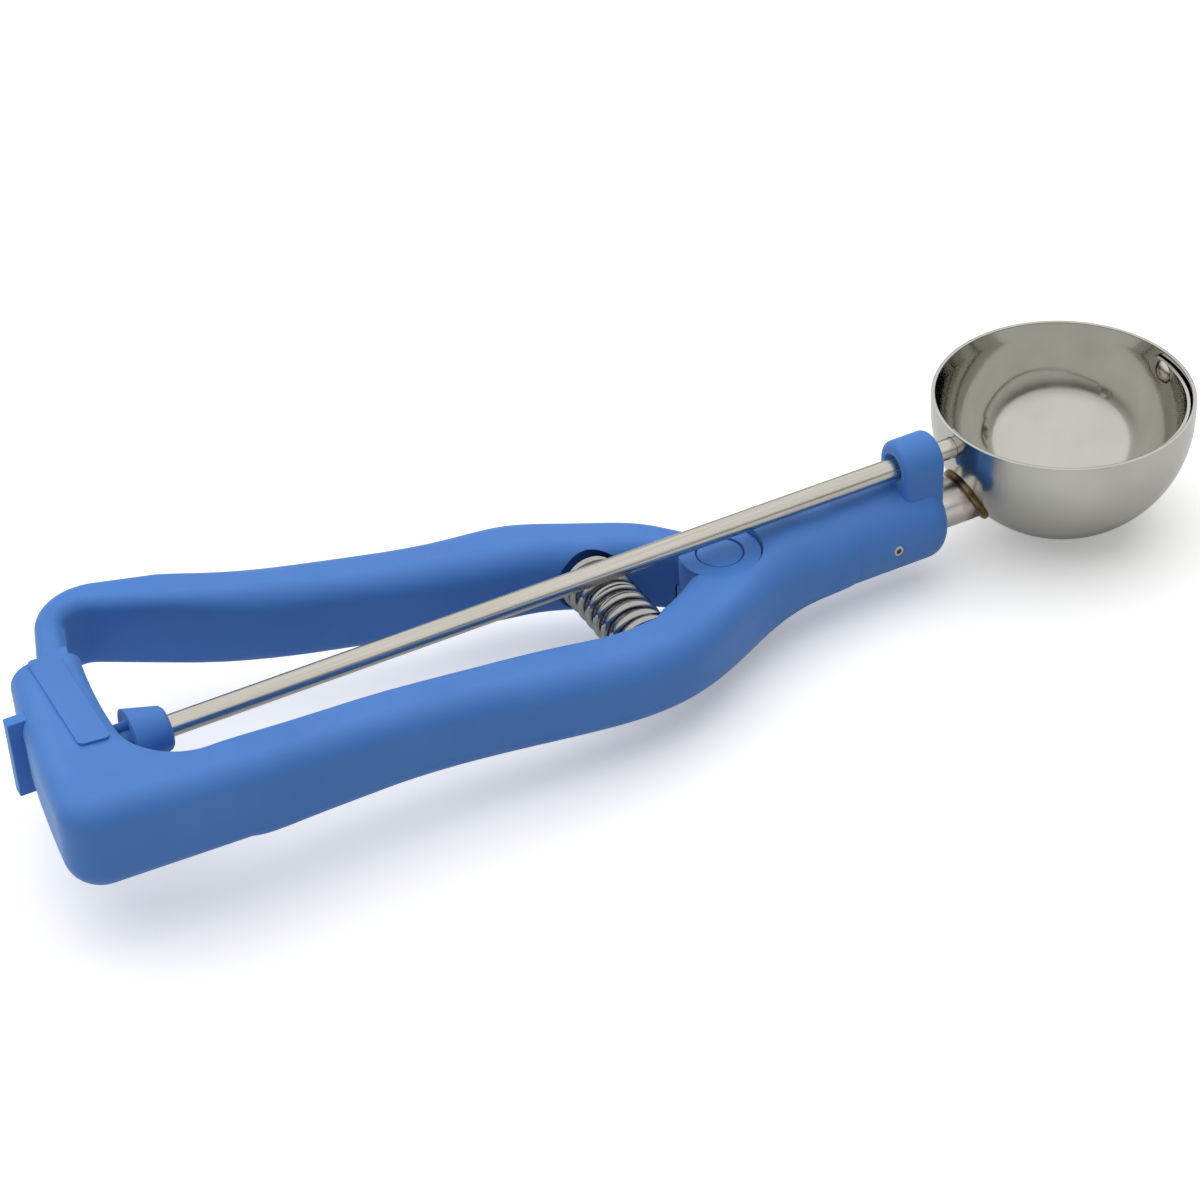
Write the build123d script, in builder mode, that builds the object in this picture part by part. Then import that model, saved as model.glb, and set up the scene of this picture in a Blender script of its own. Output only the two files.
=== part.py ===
from build123d import *
import os
from math import cos, pi, radians, sin, sqrt, tan

# Ice cream scoop with a sprung squeeze handle and a scraper driven by a rack, in millimetres.
# The origin is the centre of the bowl's rim. +X runs from the handle to the bowl, +Y from the
# fixed arm to the lever, and +Z up, out of the bowl's mouth. The rod lies along X.

# Bowl
bowl_radius = 25.0
bowl_wall = 0.8
rim_rise = 3.5

# Scraper blade and its far rivet
blade_thickness = 0.6
blade_gap = 0.3
blade_hang = 8.0
blade_tab_width = 4.4
blade_tab_tail = 4.2
rivet_diameter = 2.8
rivet_head_diameter = 4.6
rivet_head_height = 0.9

# Rod
rod_diameter = 4.0
rod_flat_depth = 0.6
rod_tail = 3.5
tenon_diameter = 2.8
tenon_head_diameter = 4.4
tenon_head_height = 0.8

# Stem
stem_drop = 12.3
stem_diameter = 9.5
stem_wall = 1.0
stem_seat_depth = 22.0
stem_pin_diameter = 2.2
stem_pin_setback = 12.4
weld_width = 1.3
weld_height = 1.0

# Barrel and rod post of the grip
nose_standoff = 4.3
neck_run = 45.7
barrel_radius = 8.7
barrel_round = 4.0
post_radius = 5.1
post_length = 8.6
post_round = 1.4
mouth_width = 0.9

# Hinge
eye_radius = 7.6
eye_thickness = 7.0
eye_drop = 5.0
hinge_pin_diameter = 5.0
hinge_head_diameter = 8.6
hinge_head_height = 2.0
clip_diameter = 8.4
clip_thickness = 0.8
clip_recess = 1.6

# Arms
arm_run = 103.0
near_reach = 24.0
far_reach = 40.0
arm_rise = 10.0
arm_round = 4.2
lever_round = 2.4
heel_edge = 2.8
heel_belly = 5.2

# Heel at the back of the grip
heel_depth = 29.6
heel_span = 19.5
heel_corner = 6.6
heel_inner_corner = 10.5
heel_bulge = 1.6
heel_flare = 2.2
heel_taper = 3.6
heel_front_wall = 1.5
mouth_drop = 9.2
field_height = 0.5
field_setback = 17.0
field_depth = 5.6
field_reach = 6.0
field_round = 1.0

# Lever crossbar, its tongue and rack
tongue_setback = 16.5
tongue_thickness = 3.7
hook_thickness = 5.0
crossbar_thickness = 5.8
crossbar_top = 5.4
crossbar_drop = 8.4
crossbar_start = 21.2
lever_corner = 11.0
lever_inner_corner = 4.4
tongue_tip = 2.6

# Pinion
tooth_spacing = 2.2
tooth_count = 10
scraper_turn = 170.0
tooth_shift_share = 0.4
pressure_angle = 20.0
backlash = 0.28
pinion_addendum = 0.9
pinion_dedendum = 0.68
rack_addendum = 0.45
rack_dedendum = 1.0
cone_length = 6.8
cone_front_radius = 4.0
cone_rear_radius = 5.6
cone_standoff = 2.6
cone_edge = 0.5

# Stop key
key_thickness = 2.4
key_place = 8.1
key_proud = 1.2
key_head_top = 6.0
key_head_drop = 9.8
key_inset = 1.6
key_head_seat = 2.6

# Return spring
spring_wire = 1.9
spring_wire_sides = 8
spring_end_radius = 5.2
spring_waist_radius = 4.8
spring_turns = 8
spring_end_pitch = 2.4
spring_drop = 10.0
seat_near = 12.8
seat_far = 12.8
seat_margin = 0.5
spigot_radius = 3.4
spigot_length = 2.6

# Clearances and the overrun of cuts
run_gap = 0.05
seat_gap = 0.01
face_gap = 0.1
free_gap = 0.3
eye_gap = 0.45
overrun = 2.0

# Shares of the arms' sizes, chosen by eye.
# Neck of the grip: place along the neck, outer and inner side by the near reach, mid height by
# the arm's rise, height by the barrel's diameter, outer and inner round by half the smaller side.
neck_shares = (
    (0.46, 0.3625, -0.3625, 0.0, 1.0, 0.97, 0.97),
    (0.64, 0.385, -0.3625, 0.0, 1.0, 0.95, 0.95),
    (0.82, 0.455, -0.335, 0.0, 0.97, 0.86, 0.86),
)
# Near arm: the same columns, with the place along the arm's run behind the hinge.
near_arm_shares = (
    (0.000, 0.600, -0.160, 0.01, 0.88, 0.72, 0.72),
    (0.087, 0.800, 0.130, 0.08, 0.84, 0.66, 0.66),
    (0.165, 0.950, 0.335, 0.16, 0.83, 0.70, 0.70),
    (0.243, 1.020, 0.460, 0.24, 0.83, 0.72, 0.72),
    (0.379, 1.020, 0.445, 0.37, 0.84, 0.70, 0.70),
    (0.553, 0.940, 0.420, 0.53, 0.86, 0.70, 0.74),
    (0.728, 0.917, 0.405, 0.68, 0.89, 0.70, 0.78),
    (0.815, 0.939, 0.434, 0.75, 0.91, 0.70, 0.72),
    (0.900, 0.963, 0.470, 0.82, 0.934, 0.70, 0.64),
    (0.955, 0.976, 0.496, 0.863, 0.957, 0.70, 0.56),
)
# Heel's stub, which the near arm runs into: outer and inner side, mid height, height.
stub_shares = (0.984, 0.518, 0.90, 0.977)
# Heel's inner corner point: side by the near reach.
heel_inner_share = 0.575
# Heel's back: mid height and height.
heel_back_shares = (1.135, 1.0632)
# Lever arm: place along the arm's run, outer and inner side by the far reach, top and bottom by
# the barrel's diameter, corner round by half the smaller side.
lever_arm_shares = (
    (0.000, 0.190, 0.000, -0.290, -1.120, 0.30),
    (0.046, 0.305, 0.045, -0.265, -1.110, 0.45),
    (0.087, 0.395, 0.118, -0.210, -1.095, 0.62),
    (0.165, 0.500, 0.205, -0.160, -1.060, 0.68),
    (0.252, 0.605, 0.272, -0.110, -1.010, 0.70),
    (0.350, 0.663, 0.318, -0.050, -0.960, 0.70),
    (0.534, 0.688, 0.385, 0.040, -0.855, 0.70),
    (0.699, 0.757, 0.462, 0.145, -0.775, 0.70),
    (0.850, 0.848, 0.570, 0.245, -0.690, 0.66),
    (0.892, 0.881, 0.615, 0.266, -0.654, 0.56),
)
# Lever's corner, which the arm runs into: the same columns without the round.
lever_stub_shares = (0.930, 0.912, 0.660, 0.281, -0.620)
# Lever's outer and inner corner points: place along the arm's run and side.
lever_corner_shares = (1.133, 1.070)
lever_inner_corner_shares = (1.107, 0.885)
# Spring's place along the arm's run. Parts of a turn: each biarc, the step that finds the wire's
# direction, the spacing of the points that measure the gaps, and the least turn between a pair.
spring_place_share = 0.209
biarc_share = 0.25
step_share = 0.001
sample_share = 0.05
apart_share = 0.5

# Worked out
axis_z = -rim_rise
rod_radius = rod_diameter / 2
stem_radius = stem_diameter / 2
nose_setback = bowl_radius + nose_standoff
hinge_x = -nose_setback - neck_run
heel_x = hinge_x - arm_run
stem_z = -stem_drop
blade_outer = bowl_radius - bowl_wall - blade_gap
blade_inner = blade_outer - blade_thickness
tooth_module = tooth_spacing / pi
pitch_radius = tooth_module * tooth_count / 2
tongue_radius = arm_run + tongue_setback
waist_radius = tongue_radius + tongue_thickness
hook_radius = tongue_radius + hook_thickness
crossbar_radius = tongue_radius + crossbar_thickness
rack_radius = tongue_radius + tongue_thickness / 2
lever_travel = pitch_radius * radians(scraper_turn)
pinion_tip = pitch_radius + pinion_addendum
eye_top = -eye_drop
eye_bottom = eye_top - eye_thickness
recess_radius = eye_radius + eye_gap
boss_top = eye_bottom - face_gap
cavity_front = tongue_radius - free_gap
heel_front = cavity_front - heel_front_wall
cavity_back = crossbar_radius + free_gap
cavity_top = crossbar_top + free_gap
cavity_bottom = -crossbar_drop - free_gap
mouth_bottom = -mouth_drop - free_gap
cone_rear_x = hinge_x - heel_front + cone_standoff
pinion_end_x = hinge_x - hook_radius
tip_rest = -pinion_tip - free_gap - tongue_tip
key_near = key_place - key_thickness / 2
key_far = key_place + key_thickness / 2
spring_x = hinge_x - spring_place_share * arm_run
spring_length = seat_near + seat_far - 2 * free_gap - spring_wire

# Drawing planes through the rod's axis: from above, from the near side, and across the rod
plan = Plane((0, 0, axis_z))
side = Plane((0, 0, axis_z), x_dir=(1, 0, 0), z_dir=(0, -1, 0))
hinge_plan = Plane((hinge_x, 0, axis_z))
rod_axis = Axis((0, 0, axis_z), (1, 0, 0))


def across(x):
    return Plane((x, 0, axis_z), x_dir=(0, 1, 0), z_dir=(1, 0, 0))


def along_y(x, y, z):
    return Plane((x, y, axis_z + z), x_dir=(1, 0, 0), z_dir=(0, 1, 0))


def grip_section(x, shares):
    # One rounded slice of the grip's neck or near arm, drawn across the rod.
    outer, inner, middle, height, outer_round, inner_round = shares
    wide = (outer - inner) * near_reach
    tall = height * 2 * barrel_radius
    least = min(wide, tall) / 2
    with BuildSketch(across(x)) as section:
        with Locations((-(outer + inner) * near_reach / 2, stem_z + middle * arm_rise)):
            Rectangle(wide, tall)
        fillet(section.vertices().group_by(Axis.X)[0], outer_round * least)
        fillet(section.vertices().group_by(Axis.X)[-1], inner_round * least)
    return section.sketch


def ring_sector(inner, outer, low, high, level):
    # A ring about the hinge axis, kept between two places across the heel, drawn at a level.
    with BuildSketch(hinge_plan.offset(level)) as ring:
        Circle(outer)
        Circle(inner, mode=Mode.SUBTRACT)
        with Locations((-outer / 2, (low + high) / 2)):
            Rectangle(outer, high - low, mode=Mode.INTERSECT)
    return ring.sketch


# Bowl: a half sphere with a short straight wall, and a pivot hole at each pole
with BuildPart() as bowl:
    with BuildSketch(side):
        with BuildLine():
            outer = JernArc((0, -bowl_radius), (1, 0), bowl_radius, 90)
            wall = Line(outer @ 1, (bowl_radius, rim_rise))
            rim = Line(wall @ 1, (bowl_radius - bowl_wall, rim_rise))
            inside = Line(rim @ 1, (bowl_radius - bowl_wall, 0))
            inner = JernArc(inside @ 1, (0, -1), bowl_radius - bowl_wall, -90)
            Line(inner @ 1, outer @ 0)
        make_face()
    revolve(axis=Axis.Z)
    with BuildSketch(across(-bowl_radius)):
        Circle(rod_radius + face_gap)
    extrude(amount=bowl_wall + overrun, both=True, mode=Mode.SUBTRACT)
    with BuildSketch(across(bowl_radius)):
        Circle(rivet_diameter / 2 + run_gap)
    extrude(amount=bowl_wall + overrun, both=True, mode=Mode.SUBTRACT)
bowl.part.label = "bowl"

# Scraper blade: a spherical band along the near rim, with a rounded tab at each pole
tab_half = blade_tab_width / 2
with BuildPart() as scraper_blade:
    with BuildSketch(side):
        Circle(blade_outer)
        Circle(blade_inner, mode=Mode.SUBTRACT)
        with Locations((blade_outer, 0)):
            Rectangle(2 * blade_outer, 2 * blade_outer, mode=Mode.INTERSECT)
    revolve(axis=Axis.Z)
    with BuildSketch(side):
        with BuildLine():
            top = Line((-bowl_radius, tab_half), (bowl_radius, tab_half))
            far_end = Line(top @ 1, (bowl_radius, -tab_half))
            hang = ThreePointArc(far_end @ 1, (0, -blade_hang), (-bowl_radius, -tab_half))
            Line(hang @ 1, top @ 0)
        make_face()
    extrude(amount=bowl_radius, both=True, mode=Mode.INTERSECT)
    with BuildSketch(across(0)):
        with Locations((blade_tab_tail - tab_half, 0)):
            Circle(tab_half)
        with Locations((blade_tab_tail - tab_half - bowl_radius, 0)):
            Rectangle(2 * bowl_radius, blade_tab_width)
        with Locations((-bowl_radius - blade_tab_tail, 0)):
            Rectangle(2 * bowl_radius, 2 * bowl_radius)
    extrude(amount=bowl_radius, both=True, mode=Mode.INTERSECT)
    with BuildSketch(across(-blade_outer)):
        Circle(tenon_diameter / 2 + seat_gap)
    extrude(amount=blade_thickness + overrun, both=True, mode=Mode.SUBTRACT)
    with BuildSketch(across(blade_outer)):
        Circle(rivet_diameter / 2 + seat_gap)
    extrude(amount=blade_thickness + overrun, both=True, mode=Mode.SUBTRACT)
scraper_blade.part.label = "scraper_blade"


def head_profile(start, face, tip, shank, head, height):
    # Half outline of a shank along X with a domed head on its end, for turning about the rod's axis.
    step = 1 if tip > face else -1
    with BuildSketch(side) as half:
        with BuildLine():
            axis_line = Line((start, 0), (tip, 0))
            dome = ThreePointArc(
                axis_line @ 1,
                (tip - step * height / 4, head * cos(pi / 4) / 2),
                (face, head / 2),
            )
            under = Line(dome @ 1, (face, shank))
            side_line = Line(under @ 1, (start, shank))
            Line(side_line @ 1, axis_line @ 0)
        make_face()
    return half.sketch


# Pivot rivet at the far pole: one head inside the blade, one outside the bowl
rivet_middle = (blade_outer + bowl_radius) / 2
rivet_inside = sqrt(blade_inner**2 - rivet_head_diameter**2 / 4) - seat_gap
rivet_outside = bowl_radius + face_gap
with BuildPart() as pivot_rivet:
    for face, step in ((rivet_inside, -1), (rivet_outside, 1)):
        half = head_profile(
            rivet_middle,
            face,
            face + step * rivet_head_height,
            rivet_diameter / 2,
            rivet_head_diameter,
            rivet_head_height,
        )
        revolve(half, axis=rod_axis)
pivot_rivet.part.label = "pivot_rivet"

# Scraper rod: shoulder against the blade, peened tenon, and a drive flat down to its tail
shoulder_x = -sqrt(blade_outer**2 - tenon_diameter**2 / 4) - blade_gap / 2
rod_end_x = hinge_x - cavity_back - rod_tail
tenon_face = -sqrt(blade_inner**2 - tenon_head_diameter**2 / 4) + seat_gap
with BuildPart() as scraper_rod:
    with BuildSketch(across(rod_end_x)):
        Circle(rod_radius)
    extrude(amount=shoulder_x - rod_end_x)
    tenon = head_profile(
        shoulder_x,
        tenon_face,
        tenon_face + tenon_head_height,
        tenon_diameter / 2,
        tenon_head_diameter,
        tenon_head_height,
    )
    revolve(tenon, axis=rod_axis)
    with BuildSketch(across(rod_end_x)):
        with Locations((0, rod_radius)):
            Rectangle(rod_diameter, 2 * rod_flat_depth)
    extrude(amount=cone_rear_x + cone_length - rod_end_x, mode=Mode.SUBTRACT)
    chamfer(scraper_rod.edges().filter_by(GeomType.CIRCLE).sort_by(Axis.X)[0], rod_flat_depth / 2)
scraper_rod.part.label = "scraper_rod"

# Drive pinion: cone-nosed sleeve, and behind it the teeth that the rack turns
base_radius = pitch_radius * cos(radians(pressure_angle))
tooth_width = tooth_module * (pi / 2 + 2 * tooth_shift_share * tan(radians(pressure_angle))) - backlash / 2


def flank_half_angle(radius):
    # Half the angle that an involute tooth fills at a radius.
    pressure = sqrt(max(radius**2 / base_radius**2 - 1, 0))
    involute = pressure - Vector(1, pressure).get_angle(Vector(1, 0)) * pi / 180
    at_pitch = tan(radians(pressure_angle)) - radians(pressure_angle)
    return tooth_width / (2 * pitch_radius) + at_pitch - involute


def on_tooth(radius, share):
    angle = pi / 2 + share * flank_half_angle(radius)
    return (radius * cos(angle), radius * sin(angle))


pinion_root = pitch_radius - pinion_dedendum
flank_middle = (base_radius + pinion_tip) / 2
root_foot = pinion_root * cos(pi / tooth_count)
with BuildPart() as drive_pinion:
    with BuildSketch(side):
        with BuildLine():
            axis_line = Line((pinion_end_x, 0), (cone_rear_x + cone_length, 0))
            nose = Line(axis_line @ 1, (cone_rear_x + cone_length, cone_front_radius - cone_edge))
            edge = Line(nose @ 1, (cone_rear_x + cone_length - cone_edge, cone_front_radius))
            cone = Line(edge @ 1, (cone_rear_x, cone_rear_radius))
            flange = Line(cone @ 1, (cone_rear_x, pinion_root))
            root = Line(flange @ 1, (pinion_end_x, pinion_root))
            Line(root @ 1, axis_line @ 0)
        make_face()
    revolve(axis=rod_axis)
    with BuildSketch(across(pinion_end_x)):
        with PolarLocations(0, tooth_count):
            with BuildLine() as tooth:
                left = ThreePointArc(
                    on_tooth(base_radius, 1), on_tooth(flank_middle, 1), on_tooth(pinion_tip, 1)
                )
                tip = Line(left @ 1, on_tooth(pinion_tip, -1))
                right = ThreePointArc(
                    tip @ 1, on_tooth(flank_middle, -1), on_tooth(base_radius, -1)
                )
                foot_right = Line(right @ 1, ((right @ 1).X, root_foot))
                foot = Line(foot_right @ 1, ((left @ 0).X, root_foot))
                Line(foot @ 1, left @ 0)
            make_face()
    extrude(amount=cone_rear_x - pinion_end_x)
    with BuildSketch(across(pinion_end_x - overrun)):
        Circle(rod_radius + seat_gap)
        with Locations((0, rod_radius + seat_gap)):
            Rectangle(rod_diameter, 2 * rod_flat_depth, mode=Mode.SUBTRACT)
    extrude(amount=cone_rear_x + cone_length - pinion_end_x + 2 * overrun, mode=Mode.SUBTRACT)
drive_pinion.part.label = "drive_pinion"

# Stem tube: seated in the barrel and coped to the bowl
stem_back_x = -nose_setback - stem_seat_depth
stem_tip_x = -sqrt(bowl_radius**2 - (stem_drop + stem_radius) ** 2)
pin_x = -nose_setback - stem_pin_setback
pin_half = sqrt(barrel_radius**2 - stem_pin_diameter**2 / 4)
with BuildPart() as stem_tube:
    with BuildSketch(across(stem_back_x)):
        with Locations((0, stem_z)):
            Circle(stem_radius)
            Circle(stem_radius - stem_wall, mode=Mode.SUBTRACT)
    extrude(amount=stem_tip_x - stem_back_x)
    with Locations((0, 0, axis_z)):
        Sphere(bowl_radius, mode=Mode.SUBTRACT)
    with BuildSketch(along_y(pin_x, 0, stem_z)):
        Circle(stem_pin_diameter / 2 + seat_gap)
    extrude(amount=stem_radius + overrun, both=True, mode=Mode.SUBTRACT)
stem_tube.part.label = "stem_tube"

# Weld bead: a rounded ring on the bowl, round the stem
with BuildPart() as stem_weld:
    with BuildSketch(across(-bowl_radius - weld_height)):
        with Locations((0, stem_z)):
            Circle(stem_radius + weld_width)
            Circle(stem_radius + seat_gap, mode=Mode.SUBTRACT)
    extrude(amount=bowl_radius + weld_height + stem_tip_x + weld_width)
    with Locations((0, 0, axis_z)):
        Sphere(bowl_radius + weld_height, mode=Mode.INTERSECT)
        Sphere(bowl_radius + seat_gap, mode=Mode.SUBTRACT)
    bead_edges = stem_weld.edges().sort_by(SortBy.LENGTH)[-2:]
    chamfer(bead_edges.sort_by(Axis.X)[0], weld_height / 2)
stem_weld.part.label = "stem_weld"

# Stem pin: through the barrel and the stem
with BuildPart() as stem_pin:
    with BuildSketch(along_y(pin_x, 0, stem_z)):
        Circle(stem_pin_diameter / 2)
    extrude(amount=pin_half, both=True)
stem_pin.part.label = "stem_pin"

# Grip body: heel, near arm and neck, barrel, rod post and hinge boss in one moulding
stub_outer, stub_inner, stub_middle, stub_height = stub_shares
back_middle, back_height = heel_back_shares
stub_top = stem_z + stub_middle * arm_rise + stub_height * barrel_radius
stub_bottom = stub_top - stub_height * 2 * barrel_radius
back_top = stem_z + back_middle * arm_rise + back_height * barrel_radius
back_bottom = back_top - back_height * 2 * barrel_radius
back_x = heel_x - heel_depth
end_front_x = hinge_x - sqrt(heel_front**2 - heel_span**2)
end_back_x = back_x + heel_taper
inner_corner_x = hinge_x - sqrt(heel_front**2 - (heel_inner_share * near_reach) ** 2)
barrel_back_x = -nose_setback - neck_shares[0][0] * neck_run
post_back_x = -nose_setback - post_length
boss_bottom = stem_z - near_arm_shares[0][4] * barrel_radius
heel_slope = Vector(back_x - overrun - heel_x, 0, back_top - stub_top)
heel_top_plane = Plane(
    (heel_x, 0, axis_z + stub_top), x_dir=(0, 1, 0), z_dir=heel_slope.cross(Vector(0, -1, 0))
)
pocket_radius = spring_end_radius + spring_wire / 2 + seat_margin
cavity_low = tip_rest - lever_travel - 2 * free_gap


def at_front(edge):
    # Whether an edge of the heel is on the side that faces the rod and the lever.
    away = Vector(edge.center().X - hinge_x, edge.center().Y).length
    return away < heel_front + overrun and edge.center().Y > -(stub_outer + stub_inner) * near_reach / 2


def key_outline(margin):
    # The stop key from the near side: a head proud of the heel and a blade that reaches the tongue.
    with BuildSketch(side.offset(-key_place)) as outline:
        head_x = back_x + key_head_seat + margin
        blade_x = hinge_x - waist_radius - free_gap
        with BuildLine():
            Polyline(
                (back_x - key_proud, key_head_top + margin),
                (head_x, key_head_top + margin),
                (head_x, key_head_top - key_inset + margin),
                (blade_x, key_head_top - key_inset + margin),
                (blade_x, key_inset - key_head_drop - margin),
                (head_x, key_inset - key_head_drop - margin),
                (head_x, -key_head_drop - margin),
                (back_x - key_proud, -key_head_drop - margin),
                close=True,
            )
        make_face()
    return outline.sketch


# Post that carries the rod, rounded at both ends and sunk into the barrel of the grip
with BuildPart() as rod_post:
    with BuildSketch(across(post_back_x)):
        Circle(post_radius)
        with Locations((0, stem_z / 2)):
            Rectangle(2 * post_radius, stem_drop)
    extrude(amount=post_length)
    ends = rod_post.edges().filter_by(Axis.X, reverse=True)
    fillet([edge for edge in ends if edge.center().Z > axis_z + stem_z + overrun], post_round)

with BuildPart() as grip_body:
    # Heel, from its plan and its side
    with BuildSketch(plan) as heel_plan:
        with BuildLine():
            outer = Line((heel_x, -stub_outer * near_reach), (back_x - heel_flare, -near_reach))
            back = ThreePointArc(outer @ 1, (back_x, -heel_bulge), (end_back_x, heel_span))
            end = Line(back @ 1, (end_front_x, heel_span))
            front = ThreePointArc(
                end @ 1, (hinge_x - heel_front, 0), (inner_corner_x, -heel_inner_share * near_reach)
            )
            inner = Line(front @ 1, (heel_x, -stub_inner * near_reach))
            Line(inner @ 1, outer @ 0)
        make_face()
        fillet(heel_plan.vertices().sort_by_distance(outer @ 1)[0], heel_corner)
        fillet(heel_plan.vertices().sort_by_distance(front @ 1)[0], heel_inner_corner)
    extrude(amount=barrel_radius + stem_drop, both=True)
    with BuildSketch(side):
        with BuildLine():
            Polyline(
                (heel_x, stub_top),
                (back_x - overrun, back_top),
                (back_x - overrun, back_bottom),
                (heel_x, stub_bottom),
                close=True,
            )
        make_face()
    extrude(amount=near_reach + overrun, both=True, mode=Mode.INTERSECT)
    for size, skin, front_side in (
        (arm_round, -1, False),
        (heel_belly, 0, False),
        (heel_edge, -1, True),
        (heel_edge, 0, True),
    ):
        skins = grip_body.faces().filter_by(GeomType.PLANE).sort_by(Axis.Z)
        rims = [
            edge
            for edge in skins[skin].edges()
            if edge.center().Y < heel_span - overrun / 2 and edge.center().X < heel_x - overrun / 2
        ]
        fillet([edge for edge in rims if at_front(edge) == front_side], size)
    stub_face = grip_body.faces().sort_by(Axis.X)[-1]
    # Bare raised field on the heel's top
    with BuildSketch(heel_top_plane):
        with Locations(((heel_span - field_reach) / 2, field_setback + field_depth / 2)):
            RectangleRounded(heel_span + field_reach, field_depth, field_round)
    extrude(amount=field_height)
    # Neck and near arm
    sections = [grip_section(-nose_setback - place * neck_run, rest) for place, *rest in neck_shares]
    sections += [grip_section(hinge_x - place * arm_run, rest) for place, *rest in near_arm_shares]
    loft([*sections, stub_face])
    # Barrel and rod post
    with BuildSketch(across(barrel_back_x)):
        with Locations((0, stem_z)):
            Circle(barrel_radius)
    extrude(amount=-nose_setback - barrel_back_x)
    nose_edges = grip_body.edges().filter_by(GeomType.CIRCLE).group_by(Axis.X)[-1]
    fillet(nose_edges, barrel_round)
    add(rod_post.part)
    # Hinge boss, with the lever's eye recessed above it and room for the lever's arm
    with BuildSketch(hinge_plan.offset(boss_bottom)):
        Circle(recess_radius)
    extrude(amount=boss_top - boss_bottom)
    with BuildSketch(hinge_plan.offset(boss_top)):
        Circle(recess_radius)
        with Locations((0, recess_radius)):
            Rectangle(2 * recess_radius * cos(pi / 6), 2 * recess_radius)
    extrude(amount=eye_thickness + stem_drop, mode=Mode.SUBTRACT)
    with BuildSketch(hinge_plan.offset(boss_bottom)):
        Circle(clip_diameter / 2 + free_gap)
    extrude(amount=clip_recess, mode=Mode.SUBTRACT)
    with BuildSketch(hinge_plan.offset(boss_bottom)):
        Circle(hinge_pin_diameter / 2 + seat_gap)
    extrude(amount=boss_top - boss_bottom, mode=Mode.SUBTRACT)
    # Spring seat and its spigot
    with BuildSketch(along_y(spring_x, -seat_near, -spring_drop)):
        Circle(pocket_radius)
    extrude(amount=seat_near, mode=Mode.SUBTRACT)
    with BuildSketch(along_y(spring_x, -seat_near - overrun, -spring_drop)):
        Circle(spigot_radius)
    extrude(amount=overrun + spigot_length)
    # Stem socket and pin hole
    with BuildSketch(across(stem_back_x - seat_gap)):
        with Locations((0, stem_z)):
            Circle(stem_radius + seat_gap)
    extrude(amount=stem_seat_depth + overrun, mode=Mode.SUBTRACT)
    with BuildSketch(along_y(pin_x, 0, stem_z)):
        Circle(stem_pin_diameter / 2 + seat_gap)
    extrude(amount=barrel_radius + overrun, both=True, mode=Mode.SUBTRACT)
    # Rod bore through the post, its flared mouth, and the tail bearing in the heel
    with BuildSketch(across(post_back_x - overrun)):
        Circle(rod_radius + run_gap)
    extrude(amount=post_length + 2 * overrun, mode=Mode.SUBTRACT)
    mouth = grip_body.edges().filter_by(GeomType.CIRCLE).sort_by_distance((post_back_x, 0, axis_z))
    chamfer(mouth[0], mouth_width)
    with BuildSketch(across(rod_end_x - face_gap)):
        Circle(rod_radius + run_gap)
    extrude(amount=rod_tail + overrun, mode=Mode.SUBTRACT)
    # Heel's hollow for the lever's tongue, its wider mouth, and the pinion's opening in the front wall
    hollow = ring_sector(cavity_front, hook_radius + free_gap, cavity_low, key_far, cavity_bottom)
    extrude(hollow, amount=cavity_top - cavity_bottom, mode=Mode.SUBTRACT)
    mouth_ring = ring_sector(cavity_front, cavity_back, key_far, heel_span + overrun, mouth_bottom)
    extrude(mouth_ring, amount=cavity_top - mouth_bottom, mode=Mode.SUBTRACT)
    with BuildSketch(across(hinge_x - tongue_radius)):
        Circle(pinion_tip + free_gap)
    extrude(amount=heel_front_wall + overrun, mode=Mode.SUBTRACT)
    extrude(key_outline(seat_gap), amount=key_thickness / 2 + seat_gap, both=True, mode=Mode.SUBTRACT)
grip_body.part.label = "grip_body"

# Stop key: pushed in from behind, it keeps the lever's hooked tongue in the heel
with BuildPart() as stop_key:
    extrude(key_outline(0), amount=key_thickness / 2, both=True)
stop_key.part.label = "stop_key"


def lever_section(x, shares):
    # One rounded slice of the lever's arm, drawn across the rod.
    outer, inner, top, bottom, corner = shares
    wide = (outer - inner) * far_reach
    tall = (top - bottom) * 2 * barrel_radius
    with BuildSketch(across(x)) as section:
        with Locations(((outer + inner) * far_reach / 2, (top + bottom) * barrel_radius)):
            RectangleRounded(wide, tall, corner * min(wide, tall) / 2)
    return section.sketch


def arm_point(place_share, side_share):
    return Vector(hinge_x - place_share * arm_run, side_share * far_reach)


# Squeeze lever: eye, far arm and crossbar in one moulding, with the rack in its tongue
lever_place, lever_outer, lever_inner, lever_top, lever_bottom = lever_stub_shares
lever_x = hinge_x - lever_place * arm_run
lever_back_x = hinge_x - crossbar_radius
lever_stub_top = lever_top * 2 * barrel_radius
lever_stub_bottom = lever_bottom * 2 * barrel_radius
lever_corner_point = arm_point(*lever_corner_shares)
inner_corner_point = arm_point(*lever_inner_corner_shares)
rack_lean = tan(radians(pressure_angle))
rack_gap = tooth_module * (pi / 2 + 2 * tooth_shift_share * rack_lean) + backlash / 2
rack_low = pitch_radius - rack_addendum
gap_count = int(lever_travel / tooth_spacing) + 3
window_low = -pinion_tip - free_gap
window_high = lever_travel + pinion_tip + 2 * free_gap
tongue_height = crossbar_top + crossbar_drop


def gap_half(height):
    # Half the width of the space between two rack teeth, at a height above the rod's axis.
    return rack_gap / 2 - (height - pitch_radius) * rack_lean


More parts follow.
